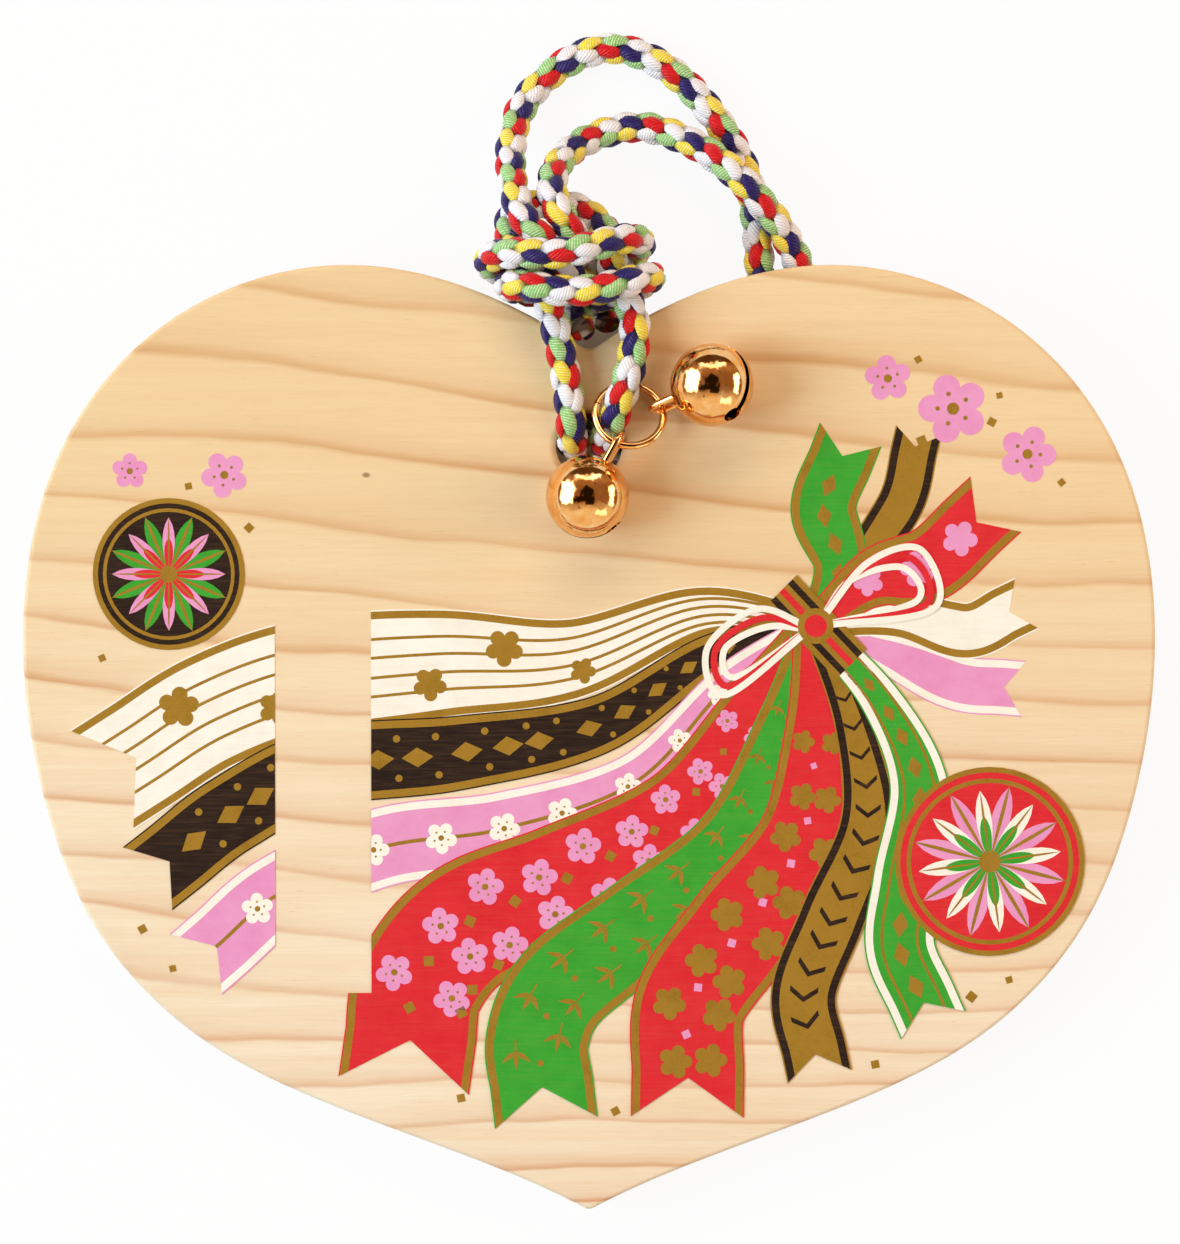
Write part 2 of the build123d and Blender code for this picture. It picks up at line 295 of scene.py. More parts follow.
def on_face(right, up, lift=0.0):
    """Place on the painted face, in metres, from millimetres right and up of its middle."""
    out = BOARD_THICK + lift
    return (BOARD_MIDDLE + Vector((right, 0, 0)) + BOARD_UP * up + BOARD_OUT * out) * MM


def wood_lines(pad):
    """Year lines of the plank: 0 in the pale early wood, up to 1 at the tan edge of each year."""
    where = pad.place_mm()
    parts = pad.node("ShaderNodeSeparateXYZ")
    pad.join(where, parts.inputs[0])
    across, up, deep = parts.outputs[0], parts.outputs[1], parts.outputs[2]
    slow = pad.noise(pad.place_mm(scale=(0.010, 0.030, 0.02), shift=(3.1, 0.4, 0)), 1.0, 2.0)
    fast = pad.noise(pad.place_mm(scale=(0.040, 0.15, 0.05), shift=(7.7, 2.0, 0)), 1.0, 3.0)
    slope = pad.maths("MULTIPLY_ADD", up, 0.0009, 0.062)
    height = pad.maths("MULTIPLY_ADD", across, slope, up)
    height = pad.maths("MULTIPLY_ADD", slow, 13.0, height)
    height = pad.maths("MULTIPLY_ADD", fast, 2.4, height)
    height = pad.maths("MULTIPLY_ADD", deep, 0.35, height)
    squeeze = pad.maths("MULTIPLY", pad.maths("MULTIPLY", height, height), -0.00052)
    years = pad.maths("ADD", pad.maths("MULTIPLY", height, 1 / YEAR_WIDE), squeeze)
    turn = pad.maths("FRACT", years)
    year = pad.maths("FLOOR", years)
    random = pad.node("ShaderNodeTexWhiteNoise", noise_dimensions="1D")
    pad.join(year, random.inputs["W"])
    line = pad.level(turn, YEAR_LINE)
    strength = pad.maths("MULTIPLY_ADD", random.outputs["Value"], 0.35, 0.62)
    uneven = pad.noise(pad.place_mm(scale=(0.03, 0.10, 0.1), shift=(1, 5, 2)), 1.0, 2.0)
    strength = pad.maths("MULTIPLY", strength, pad.level(uneven, [(0.3, 0.62), (0.7, 1.1)]))
    return pad.maths("MULTIPLY", line, strength), up


plank = Sketchpad("planed_softwood")
year_lines, board_up = wood_lines(plank)
tip_to_top = plank.maths("MULTIPLY_ADD", board_up, 0.01, 0.5)
fade = plank.level(tip_to_top, [(0.0, 0.0), (0.35, 0.15), (0.75, 0.9), (1.0, 1.0)])
cloud = plank.noise(plank.place_mm(scale=(0.02, 0.05, 0.05)), 1.0, 3.0)
pale = plank.blend(fade, shade("FCECD2"), shade("F6DAAB"))
pale = plank.blend(plank.level(cloud, [(0.35, 0.0), (0.7, 0.40)]), pale, shade("EFCD9C"))
tan = plank.blend(fade, shade("DB9F76"), shade("D6A26C"))
timber = plank.blend(year_lines, pale, tan)
bands = plank.noise(plank.place_mm(scale=(0.012, 0.75, 0.75), shift=(2, 7, 3)), 1.0, 3.0, 0.6)
timber = plank.blend(plank.level(bands, [(0.42, 0.0), (0.70, 0.24)]), timber, shade("E9BE8C"))
fibre = plank.noise(plank.place_mm(scale=(0.22, 4.5, 4.5)), 1.0, 4.0, 0.65)
timber = plank.blend(plank.level(fibre, [(0.30, 0.14), (0.62, 0.0)]), timber, shade("D6A870"))
pores = plank.noise(plank.place_mm(scale=(0.5, 6.0, 6.0), shift=(4, 9, 1)), 1.0, 2.0)
timber = plank.blend(plank.level(pores, [(0.22, 0.30), (0.31, 0.0)]), timber, shade("C9935A"))
specks = plank.node("ShaderNodeTexVoronoi")
plank.join(plank.place_mm(scale=(0.10, 0.16, 0.16)), specks.inputs["Vector"])
specks.inputs["Scale"].default_value = 1.0
speck_pick = plank.maths("GREATER_THAN", plank.noise(specks.outputs["Position"], 3.7, 0.0), 0.62)
speck_dot = plank.level(specks.outputs["Distance"], [(0.03, 0.75), (0.055, 0.0)])
timber = plank.blend(plank.maths("MULTIPLY", speck_dot, speck_pick), timber, shade("8A5A32"))
plank.bump(plank.maths("MULTIPLY_ADD", year_lines, -0.2, fibre), 0.18, 0.0002)
smooth_wood = plank.level(fibre, [(0.2, 0.62), (0.8, 0.50)])
plank.set(Base_Color=timber, Roughness=smooth_wood, Specular_IOR_Level=0.3)
board = nodes["board"]
board.data.materials.clear()
board.data.materials.append(plank.material)

# Print
# Screen-printed inks in red, green, pink, white, black and gold, each a thin film on the planed face.
# They draw a tied bundle of patterned ribbons, two thread balls and loose plum blossoms.
# One upright panel at the left stays bare wood.
FILM_BASE = 0.02
FILM_STEP = 0.004
FACE_PLACE = Matrix.Translation(on_face(0, 0)) @ Matrix.Rotation(LEAN, 4, "X")
BARE_LEFT, BARE_RIGHT, BARE_LOW, BARE_HIGH = -33.3, -23.1, -27.0, 36.0
TIE = (24.0, 12.0)
BOW_CORD = 0.7


class Weaver:
    """Short words for building one geometry tree with named inputs."""

    def __init__(self, name, inputs):
        self.tree = bpy.data.node_groups.new(name, "GeometryNodeTree")
        self.tree.interface.new_socket("Geometry", in_out="INPUT", socket_type="NodeSocketGeometry")
        for label, kind, value in inputs:
            socket = self.tree.interface.new_socket(label, in_out="INPUT", socket_type=kind)
            if value is not None:
                socket.default_value = value
        self.tree.interface.new_socket("Geometry", in_out="OUTPUT", socket_type="NodeSocketGeometry")
        self.start = self.tree.nodes.new("NodeGroupInput")
        self.end = self.tree.nodes.new("NodeGroupOutput")

    def given(self, label):
        return self.start.outputs[label]

    def node(self, kind, inputs=None, **settings):
        made = self.tree.nodes.new(kind)
        for key, value in settings.items():
            setattr(made, key, value)
        for key, value in (inputs or {}).items():
            socket = made.inputs[key]
            if isinstance(value, bpy.types.NodeSocket):
                self.tree.links.new(value, socket)
            else:
                socket.default_value = value
        return made

    def maths(self, operation, first, second=0.0, third=0.0):
        return self.node("ShaderNodeMath", {0: first, 1: second, 2: third}, operation=operation).outputs[0]

    def vector(self, operation, first, second=None, scale=None):
        inputs = {0: first}
        if second is not None:
            inputs[1] = second
        if scale is not None:
            inputs["Scale"] = scale
        made = self.node("ShaderNodeVectorMath", inputs, operation=operation)
        return made.outputs["Value"] if operation == "DOT_PRODUCT" else made.outputs["Vector"]

    def finish(self, geometry, material):
        real = self.node("GeometryNodeRealizeInstances", {"Geometry": geometry})
        painted = self.node("GeometryNodeSetMaterial", {"Geometry": real.outputs[0], "Material": material})
        self.tree.links.new(painted.outputs[0], self.end.inputs[0])

    def grow(self, thing, settings):
        """Runs the tree on an object and gives back its result as a plain mesh."""
        modifier = thing.modifiers.new("grow", "NODES")
        modifier.node_group = self.tree
        for item in self.tree.interface.items_tree:
            if item.in_out == "INPUT" and item.name in settings:
                modifier[item.identifier] = settings[item.name]
        graph = bpy.context.evaluated_depsgraph_get()
        grown = thing.evaluated_get(graph)
        mesh = bpy.data.meshes.new_from_object(grown, preserve_all_data_layers=True, depsgraph=graph)
        thing.modifiers.remove(modifier)
        return mesh


class Film:
    """One ink: flat patches on the printed face, each in its own layer."""

    def __init__(self, name, first, second, metal=0.0):
        pad = Sketchpad("ink_" + name)
        patchy = pad.noise(pad.place_mm(scale=(0.3, 0.3, 0.3)), 1.0, 4.0, 0.65)
        speckle = pad.noise(pad.place_mm(), 5.5, 2.0, 0.7)
        grain = pad.noise(pad.place_mm(scale=(0.22, 4.5, 4.5)), 1.0, 4.0, 0.65)
        mix = pad.maths("MULTIPLY_ADD", speckle, 0.9 if metal else 0.25, patchy)
        share = pad.level(mix, [(0.5, 0.0), (1.0 if metal else 0.9, 1.0)])
        colour = pad.blend(share, shade(first), shade(second))
        colour = pad.blend(pad.level(grain, [(0.28, 0.07), (0.55, 0.0)]), colour, shade("C9955C"))
        pad.bump(pad.maths("MULTIPLY_ADD", speckle, 0.5, grain), 0.05, 0.0001)
        pad.set(Base_Color=colour, Metallic=metal, Roughness=pad.level(speckle, [(0.3, 0.45), (0.7, 0.6)]))
        pad.set(Specular_IOR_Level=0.2)
        self.name = name
        self.material = pad.material
        self.mesh = bmesh.new()

    def point(self, right, up, layer):
        return self.mesh.verts.new(Vector((right, up, FILM_BASE + FILM_STEP * layer)) * MM)

    def patch(self, outline, layer):
        corners = [Vector((right, up, 0)) for right, up in outline]
        points = [self.point(right, up, layer) for right, up in outline]
        for face in tessellate_polygon([corners]):
            self.mesh.faces.new([points[k] for k in face])

    def strip(self, rows, layer):
        made = [[self.point(right, up, layer) for right, up in row] for row in rows]
        for one, two in zip(made, made[1:]):
            for k in range(len(one) - 1):
                self.mesh.faces.new((one[k], one[k + 1], two[k + 1], two[k]))

    def finish(self):
        for place, way in (
            ((BARE_LEFT, 0, 0), (1, 0, 0)), ((BARE_RIGHT, 0, 0), (1, 0, 0)),
            ((0, BARE_LOW, 0), (0, 1, 0)), ((0, BARE_HIGH, 0), (0, 1, 0)),
        ):
            everything = self.mesh.verts[:] + self.mesh.edges[:] + self.mesh.faces[:]
            cut = Vector(place) * MM
            bmesh.ops.bisect_plane(self.mesh, geom=everything, dist=1e-7, plane_co=cut, plane_no=way)
        bare = []
        for face in self.mesh.faces:
            middle = face.calc_center_median() / MM
            if BARE_LEFT < middle.x < BARE_RIGHT and BARE_LOW < middle.y < BARE_HIGH:
                bare.append(face)
        bmesh.ops.delete(self.mesh, geom=bare, context="FACES")
        on_wood = self.mesh.verts[:]
        bmesh.ops.extrude_face_region(self.mesh, geom=self.mesh.faces[:], use_keep_orig=True)
        for vertex in on_wood:
            vertex.co.z = 0
        bmesh.ops.recalc_face_normals(self.mesh, faces=self.mesh.faces[:])
        sheet = bpy.data.meshes.new("print_" + self.name)
        self.mesh.to_mesh(sheet)
        self.mesh.free()
        sheet.transform(FACE_PLACE)
        sheet.materials.clear()
        sheet.materials.append(self.material)
        piece = link(bpy.data.objects.new("print_" + self.name, sheet))
        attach(piece, "plaque")


inks = {
    "red": Film("red", "E23038", "D8242E"),
    "green": Film("green", "3FA836", "359A2E"),
    "pink": Film("pink", "EFA0CC", "E88EC0"),
    "white": Film("white", "FFF9EC", "F6EEDC"),
    "black": Film("black", "231815", "2E211B"),
    "gold": Film("gold", "94701E", "B58A32", 0.35),
}

stamper = Weaver("stamped_motifs", [("Motif", "NodeSocketObject", None), ("Ink", "NodeSocketMaterial", None)])
motif_shape = stamper.node("GeometryNodeObjectInfo", {"Object": stamper.given("Motif")}).outputs["Geometry"]
spot_turn = stamper.node("GeometryNodeInputNamedAttribute", {"Name": "turn"}, data_type="FLOAT")
spot_size = stamper.node("GeometryNodeInputNamedAttribute", {"Name": "size"}, data_type="FLOAT")
spot_angle = stamper.node("ShaderNodeCombineXYZ", {"Z": spot_turn.outputs["Attribute"]}).outputs[0]
spot_facing = stamper.node("FunctionNodeEulerToRotation", {0: spot_angle}).outputs[0]
stamped = stamper.node("GeometryNodeInstanceOnPoints", {
    "Points": stamper.given("Geometry"), "Instance": motif_shape,
    "Rotation": spot_facing, "Scale": spot_size.outputs["Attribute"],
})
stamper.finish(stamped.outputs[0], stamper.given("Ink"))


def stamp(ink, motif, spots, layer):
    """Repeats one small shape at spots of right, up, turn and size in millimetres."""
    carrier = bpy.data.meshes.new("spots")
    lift = FILM_BASE + FILM_STEP * layer
    carrier.from_pydata([(spot[0] * MM, spot[1] * MM, lift * MM) for spot in spots], [], [])
    for label, column in (("turn", 2), ("size", 3)):
        values = carrier.attributes.new(label, "FLOAT", "POINT")
        values.data.foreach_set("value", [spot[column] for spot in spots])
    thing = link(bpy.data.objects.new("spots", carrier))
    mesh = stamper.grow(thing, {"Motif": motif, "Ink": inks[ink].material})
    inks[ink].mesh.from_mesh(mesh)
    bpy.data.objects.remove(thing)


def circle(right, up, radius, start=0.0, sweep=360.0, count=28):
    turns = [math.radians(start + sweep * k / count) for k in range(count + (sweep < 360))]
    return [(right + radius * math.cos(t), up + radius * math.sin(t)) for t in turns]


def motif(name, outlines):
    """A small flat shape one millimetre in radius, kept as an object for the stamping."""
    mesh = bmesh.new()
    for outline in outlines:
        corners = [Vector((right, up, 0)) for right, up in outline]
        points = [mesh.verts.new(corner * MM) for corner in corners]
        for face in tessellate_polygon([corners]):
            mesh.faces.new([points[k] for k in face])
    sheet = bpy.data.meshes.new(name)
    mesh.to_mesh(sheet)
    mesh.free()
    return link(bpy.data.objects.new(name, sheet))


petal_turns = [math.radians(90 + 72 * k) for k in range(5)]
PETAL_OUT, PETAL_ROUND = 0.58, 0.37
petal_edge = []
for step in range(-36, 36, 6):
    a = math.radians(step)
    rim = math.sqrt(PETAL_ROUND ** 2 - (PETAL_OUT * math.sin(a)) ** 2)
    petal_edge.append((a, PETAL_OUT * math.cos(a) + rim))
petals = motif("petals", [[
    (reach * math.cos(t + a), reach * math.sin(t + a)) for t in petal_turns for a, reach in petal_edge
]])
stamens = motif("stamens", [circle(0, 0, 0.17, count=12)] + [
    circle(0.42 * math.cos(t), 0.42 * math.sin(t), 0.065, count=8) for t in petal_turns
])
fleck = motif("fleck", [[(-0.7, -0.7), (0.7, -0.7), (0.7, 0.7), (-0.7, 0.7)]])
lozenge = motif("lozenge", [[(-1, 0), (0, -0.62), (1, 0), (0, 0.62)]])
dot = motif("dot", [circle(0, 0, 1, count=12)])
leaf = [(0, 0), (0.16, 0.42), (0.10, 0.80), (0, 1.15), (-0.10, 0.80), (-0.16, 0.42)]
leaf_turns = [math.radians(t) for t in (-52, 0, 52)]
leaves = motif("leaves", [
    [(x * math.cos(t) - y * math.sin(t), x * math.sin(t) + y * math.cos(t)) for x, y in leaf]
    for t in leaf_turns
] + [[(-0.05, 0), (0.05, 0), (0.05, -0.7), (-0.05, -0.7)]])
chevron = motif("chevron", [[(-0.5, 1), (0.25, 0), (-0.5, -1), (-0.1, -1), (0.65, 0), (-0.1, 1)]])


def flow(points, steps=14):
    """A smooth line through the points, with its direction at each place."""
    given = [Vector(p) for p in points]
    given = [2 * given[0] - given[1]] + given + [2 * given[-1] - given[-2]]
    line = []
    for a, b, c, d in zip(given, given[1:], given[2:], given[3:]):
        for k in range(steps):
            t = k / steps
            squared = (2 * a - 5 * b + 4 * c - d) * t ** 2
            cubed = (3 * b - a - 3 * c + d) * t ** 3
            line.append(0.5 * (2 * b + (c - a) * t + squared + cubed))
    line.append(given[-2])
    ways = [(q - p).normalized() for p, q in zip(line, line[1:])]
    return list(zip(line, ways + ways[-1:]))


class Ribbon:
    """A ribbon with a swallow tail, laid along a smooth line from the tie."""

    def __init__(self, ink, path, narrow, wide, layer, edge="gold", tail=0.35):
        line = flow(path)
        self.rows = []
        self.wide, self.tail, self.layer = wide, tail, layer
        for number, (place, way) in enumerate(line):
            ease = min(1.0, 1.6 * number / (len(line) - 1))
            half = narrow / 2 + (wide - narrow) / 2 * ease * ease * (3 - 2 * ease)
            self.rows.append((place, way, Vector((-way.y, way.x)), half))
        self.band(ink, [(-1, 0), (0, 0), (1, 0)], 0)
        for side in (-1, 1):
            self.band(edge, [(side, -0.15 * side), (side, -0.95 * side)], 1)

    def band(self, ink, lanes, above):
        rows = []
        for place, way, side, half in self.rows:
            rows.append([place + side * (f * half + more) for f, more in lanes])
        place, way, side, half = self.rows[-1]
        ends = [f * half + more for f, more in lanes]
        rows.append([place + side * off + way * abs(off) / half * self.tail * self.wide for off in ends])
        inks[ink].strip(rows, self.layer + above)

    def spots(self, every, lanes, size, start=7.0, stop=1.5, turn=0.0, sway=0.0):
        """Places along the ribbon, in lanes across it, from near the tie to its end."""
        found, gone, due, number = [], 0.0, start, 0
        total = sum((b[0] - a[0]).length for a, b in zip(self.rows, self.rows[1:]))
        for one, two in zip(self.rows, self.rows[1:]):
            gone += (two[0] - one[0]).length
            if gone < due or gone > total - stop:
                continue
            place, way, side, half = two
            for lane in lanes:
                if (number + lanes.index(lane)) % 2 and sway:
                    lane = lane + sway
                here = place + side * half * lane
                share = min(1.0, half * 2 / self.wide + 0.1)
                found.append((here.x, here.y, math.atan2(way.y, way.x) + turn, size * share))
            due += every
            number += 1
        return found


back_ends = [
    Ribbon("gold", [TIE, (28.5, 18.5), (33, 25), (34.5, 31)], 2.5, 5.0, 0, "black"),
    Ribbon("pink", [TIE, (32, 9), (39, 6), (44, 5.5)], 3.0, 6.0, 2, "white"),
    Ribbon("green", [TIE, (26.5, 18.5), (24.8, 24.5), (26.8, 30)], 4.0, 7.0, 4),
    Ribbon("white", [TIE, (33, 13), (40, 11.5), (44.5, 13.5)], 3.0, 6.0, 6),
    Ribbon("red", [TIE, (30, 17), (36, 18.5), (41, 23)], 4.0, 8.0, 8),
]
stamp("gold", lozenge, back_ends[2].spots(3.2, [0.0], 1.3, 6.0), 6)
stamp("pink", petals, back_ends[4].spots(5.6, [0.0], 2.0, 7.0), 10)

white_ribbon = Ribbon(
    "white", [TIE, (12, 13.5), (-2, 8.5), (-16, 8), (-30, 6.5), (-40, 3), (-48, -2)], 4.0, 12.5, 10,
)
for lane in (-0.5, -0.18, 0.16, 0.48):
    white_ribbon.band("gold", [(lane, -0.16), (lane, 0.16)], 1)
stamp("gold", petals, white_ribbon.spots(17.0, [-0.32], 2.3, 34.0), 12)
stamp("gold", petals, white_ribbon.spots(17.0, [0.36], 1.9, 25.0), 12)
black_ribbon = Ribbon(
    "black", [TIE, (13, 9), (1, 1.5), (-14, -1.5), (-28, -3), (-38, -8), (-44.5, -13)], 3.5, 8.5, 13,
)
stamp("gold", lozenge, black_ribbon.spots(4.4, [0.0], 1.7, 9.0), 15)
stamp("gold", dot, black_ribbon.spots(4.4, [-0.5, 0.5], 0.4, 11.2), 15)
pink_ribbon = Ribbon(
    "pink", [TIE, (15, 6), (5, -4.5), (-9, -9.5), (-22, -11.5), (-33, -16.5), (-39.5, -22)], 3.5, 8.5, 16,
    "white",
)
pink_ribbon.band("gold", [(0.0, -0.2), (0.0, 0.2)], 1)
pink_spots = pink_ribbon.spots(7.0, [0.0], 1.8, 12.0)
stamp("white", petals, pink_spots, 18)
stamp("gold", stamens, pink_spots, 19)
red_ribbon = Ribbon(
    "red", [TIE, (17.5, 3.5), (9.5, -8), (-3, -15.5), (-13, -20), (-18, -26), (-19, -32)], 5.0, 14.0, 19,
)
red_spots = red_ribbon.spots(5.6, [-0.42, 0.38], 2.1, 13.0, sway=0.16)
stamp("pink", petals, red_spots, 21)
stamp("gold", stamens, red_spots, 22)
stamp("gold", fleck, red_ribbon.spots(5.6, [-0.05, 0.74], 0.75, 16.0, turn=0.6), 21)
green_ribbon = Ribbon(
    "green", [TIE, (20.5, 1.5), (15, -11), (5, -20), (-3, -26.5), (-5.5, -32), (-5, -37)], 4.5, 11.0, 23,
)
for step, lane in ((0, -0.40), (1, 0.40)):
    stamp("gold", leaves, green_ribbon.spots(5.2, [lane], 1.75, 9.0 + 2.6 * step, turn=-math.pi / 2), 25)
stamp("gold", dot, green_ribbon.spots(5.2, [0.05], 0.35, 10.2), 25)
second_red = Ribbon(
    "red", [TIE, (24, 0.5), (22.5, -11), (16, -20.5), (10.8, -28), (10.5, -36)], 5.0, 12.0, 27,
)
stamp("gold", petals, second_red.spots(5.4, [-0.36, 0.40], 1.9, 12.0, sway=0.14), 29)
stamp("pink", fleck, second_red.spots(5.4, [0.0], 0.6, 14.5, turn=0.4), 29)
gold_ribbon = Ribbon(
    "gold", [TIE, (28, 1.5), (29.5, -9), (25.8, -19), (22.8, -27), (24.0, -33.5)], 3.0, 7.0, 30, "black",
)
stamp("black", chevron, gold_ribbon.spots(3.0, [0.0], 1.5, 8.0), 32)
second_green = Ribbon(
    "green", [TIE, (31, 4), (35, -5), (33.8, -15), (33, -22), (35.5, -28)], 3.5, 7.5, 33, "white",
)
stamp("gold", lozenge, second_green.spots(3.4, [0.0], 1.4, 8.0), 35)
for lane in (-0.5, 0.5):
    second_green.band("gold", [(lane, -0.14), (lane, 0.14)], 1)


def cord_line(ink, path, wide, layer):
    rows = []
    for place, way in flow(path):
        side = Vector((-way.y, way.x)) * wide / 2
        rows.append((place - side, place + side))
    inks[ink].strip(rows, layer)


cuff = [Vector(TIE) + Vector((a, b)) for a, b in ((-5.2, 2.2), (-2.0, 5.4), (5.4, -2.4), (2.2, -5.6))]
inks["gold"].patch(cuff, 37)
for share in (0.22, 0.5, 0.78):
    one, two = cuff[0].lerp(cuff[1], share), cuff[3].lerp(cuff[2], share)
    stripe = [one, one.lerp(two, 0.33), one.lerp(two, 0.67), two]
    cord_line("red" if share == 0.5 else "black", stripe, BOW_CORD, 38)
for number, ink in enumerate(("white", "red", "white")):
    more = 0.95 * number
    cord_line(ink, [
        (24.4, 12.4), (27.6 + more, 16.8 + more), (33.2 + more, 18.2 + more),
        (34.6 + more, 14.6 - more * 0.4), (24.4, 12.0),
    ], BOW_CORD, 39 + number)
    cord_line(ink, [
        (23.8, 11.6), (18.8 - more * 0.5, 11.9 + more), (14.4 - more, 9.6),
        (15.6 - more * 0.6, 6.6 - more), (23.8, 12.0),
    ], BOW_CORD, 39 + number)
inks["gold"].patch(circle(*TIE, 1.9), 42)
inks["red"].patch(circle(*TIE, 1.2), 43)

SPINDLES = 8


def thread_ball(right, up, radius, base, petals_ink, heart_ink, belt_ink, layer, turn=0.0):
    """A ball wound with coloured thread, drawn as a star of spindles inside a gold rim."""
    inks["gold"].patch(circle(right, up, radius + 0.55, count=48), layer)
    inks[base].patch(circle(right, up, radius, count=48), layer + 1)
    for ring_size, ring_ink, above in ((0.93, "gold", 1.5), (0.88, base, 2.5)):
        inks[ring_ink].patch(circle(right, up, radius * ring_size, count=48), layer + above)
    for ink, reach, half, above, shift in (
        (belt_ink, 0.86, 0.150, 3, 22.5), ("gold", 0.90, 0.030, 4, 22.5),
        (petals_ink, 0.80, 0.125, 5, 0.0), (heart_ink, 0.52, 0.090, 6, 0.0), ("gold", 0.80, 0.018, 7, 0.0),
    ):
        for k in range(SPINDLES):
            t = math.radians(360 * k / SPINDLES + shift + turn)
            spindle = []
            for side in (1, -1):
                for j in range(9):
                    out = j / 8 if side == 1 else 1 - j / 8
                    swell = math.sin(math.pi * min(1.0, out * 0.94 + 0.06)) ** 0.8
                    wide = side * half * swell * (0.35 + 0.65 * out)
                    spindle.append((
                        right + radius * (reach * out * math.cos(t) - wide * math.sin(t)),
                        up + radius * (reach * out * math.sin(t) + wide * math.cos(t)),
                    ))
            inks[ink].patch(spindle[:9] + spindle[10:17], layer + above)
    inks["gold"].patch(circle(right, up, radius * 0.12), layer + 8)


thread_ball(42.5, -13.0, 9.5, "red", "white", "green", "pink", 36, 8.0)
thread_ball(-44.5, 17.5, 7.5, "black", "pink", "red", "green", 14, 0.0)
loose = [
    (38.5, 35.0, 0.3, 3.9), (46.4, 30.2, 0.9, 3.2), (31.6, 38.2, 0.1, 2.6),
    (-38.6, 28.0, 0.5, 2.6), (-48.6, 28.4, 0.0, 2.0),
]
stamp("pink", petals, loose, 2)
stamp("gold", stamens, loose, 3)
flecks = [
    (35.2, 31.6, 0.4, 0.7), (42.6, 33.6, 1.1, 0.6), (43.4, 36.4, 0.2, 0.45), (50.0, 27.2, 0.7, 0.5),
    (34.8, 40.2, 0.5, 0.5), (-42.4, 26.8, 0.2, 0.5), (-36.0, 22.4, 0.8, 0.6), (-51.6, 8.6, 0.4, 0.5),
    (-47.4, -20.2, 0.5, 0.6), (-44.2, -24.4, 0.2, 0.5), (30.4, -34.6, 0.2, 0.6), (40.6, -27.4, 0.9, 0.7),
    (44.6, -25.6, 0.3, 0.5), (2.8, -39.6, 0.5, 0.6), (-13.6, -38.2, 0.2, 0.6),
]
stamp("gold", fleck, flecks, 2)
for film in inks.values():
    film.finish()
for thing in (petals, stamens, fleck, lozenge, dot, leaves, chevron):
    bpy.data.objects.remove(thing)

# Cord
# One length of round braid: six strands wound one way and six the other, each over two and under two.
# Its two legs come up through the hole and are tied in a tight doubled knot in the notch.
# Above the knot it lies in two hanging loops, which run back under the board to the hole.
TAIL_LEFT = [(-0.8, 43.5, 8.4), (-1.2, 45.2, 6.4), (-3.2, 46.8, 5.2), (-6.0, 47.4, 6.2)]
WRAP_LOWER = [
    (-8.2, 47.7, 8.8), (-8.6, 47.8, 12.4), (-6.4, 47.5, 15.0), (-2.6, 46.9, 15.5), (0.8, 47.1, 15.5),
    (4.2, 48.0, 14.9), (6.7, 48.8, 12.2), (6.2, 48.5, 8.6), (2.8, 46.8, 7.0), (-0.4, 47.1, 8.6),
    (-2.2, 49.2, 10.8), (-4.3, 52.0, 11.9),
]
LOOP_OUTER = [
    (-7.0, 54.6, 11.3), (-8.1, 58.2, 8.8), (-8.5, 62.4, 5.4), (-7.7, 67.0, 2.4), (-4.0, 71.6, 1.55),
    (2.2, 74.4, 1.5), (8.8, 71.8, 1.5), (13.8, 66.2, 1.5), (17.0, 60.6, 1.5), (18.0, 55.0, 1.5),
    (18.3, 49.6, 1.5), (19.2, 44.2, 1.5), (16.6, 39.2, 1.5), (11.0, 37.4, 1.5), (5.4, 37.5, 1.5),
    (0.6, 35.8, 1.5),
]
LEG_LEFT = [
    (-1.7, 31.2, 1.5), (-1.72, 31.2, 10.8), (-2.2, 36.8, 10.95), (-3.0, 41.2, 11.2), (-4.1, 45.4, 11.3),
]
BIGHT = [
    (-5.0, 48.2, 10.9), (-6.5, 50.6, 9.6), (-8.5, 52.8, 7.4), (-8.6, 55.6, 5.2), (-5.2, 57.2, 3.8),
    (-1.0, 56.6, 4.2), (1.8, 54.2, 6.4), (2.4, 51.4, 9.0), (2.6, 48.4, 10.6),
]
LEG_RIGHT = [(4.7, 45.4, 11.5), (4.9, 41.4, 12.1), (3.9, 37.2, 12.4), (1.7, 31.4, 10.2), (1.7, 31.2, 1.5)]
LOOP_INNER = [
    (6.6, 31.5, 1.5), (12.4, 32.0, 1.5), (18.4, 34.6, 1.5), (22.6, 39.4, 1.5), (24.0, 45.0, 1.5),
    (22.8, 50.0, 1.6), (20.7, 54.2, 3.7), (18.0, 57.4, 5.4), (15.2, 60.4, 5.4), (11.6, 63.3, 3.6),
    (5.8, 65.7, 1.8), (0.4, 64.4, 2.2), (-3.0, 61.8, 5.2), (-4.2, 58.6, 8.8),
]
WRAP_UPPER = [
    (-3.2, 55.4, 11.0), (-1.3, 52.7, 10.8), (-1.1, 50.8, 7.9), (0.5, 50.0, 5.2), (3.1, 50.5, 4.5),
    (5.2, 51.8, 6.6), (5.6, 52.6, 10.2), (3.9, 52.7, 13.4), (0.4, 51.7, 15.2), (-3.2, 50.8, 15.6),
    (-7.0, 51.0, 15.0), (-9.9, 51.0, 12.8), (-10.9, 50.2, 9.4), (-9.0, 49.4, 5.8), (-5.2, 50.0, 3.4),
]
TAIL_RIGHT = [(-0.8, 49.0, 2.4), (1.8, 46.8, 2.8), (1.9, 44.5, 5.0)]
